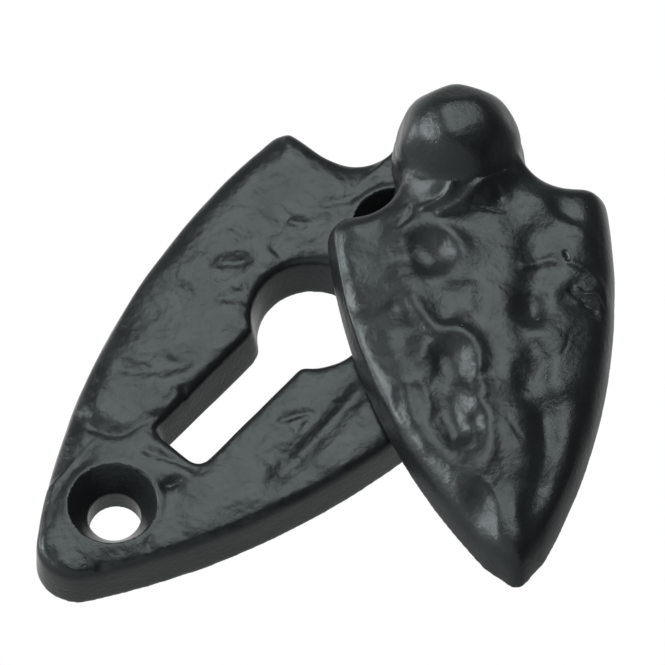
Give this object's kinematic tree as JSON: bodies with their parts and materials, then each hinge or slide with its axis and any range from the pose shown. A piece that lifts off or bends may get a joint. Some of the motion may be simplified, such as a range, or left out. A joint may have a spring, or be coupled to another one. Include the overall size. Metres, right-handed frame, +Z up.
{
  "type": "keyhole escutcheon",
  "caption": "Shield-shaped cast keyhole plate with countersunk screw holes and a hammered drop cover that swings aside on a rivet under its domed boss.",
  "frame": {"origin": "centre of the lower screw hole on the plate's flat back face", "axes": "+Z up the plate through both screw holes to the pivot, +Y into the door, +X to the right as the front is looked at"},
  "size_m": [0.0518, 0.0148, 0.0652],
  "materials": {
    "painted_casting": "satin black paint",
    "rivet_steel": "blackened"
  },
  "bodies": {
    "plate": {"back_plate": "painted_casting"},
    "cover": {"cover": "painted_casting", "pivot_rivet": "rivet_steel"}
  },
  "joints": [
    {"name": "cover_pivot", "type": "hinge", "parent": "plate", "child": "cover", "pos_m": [0, -0.0057, 0.0493], "axis": [0, -1, 0], "continuous": true}
  ]
}
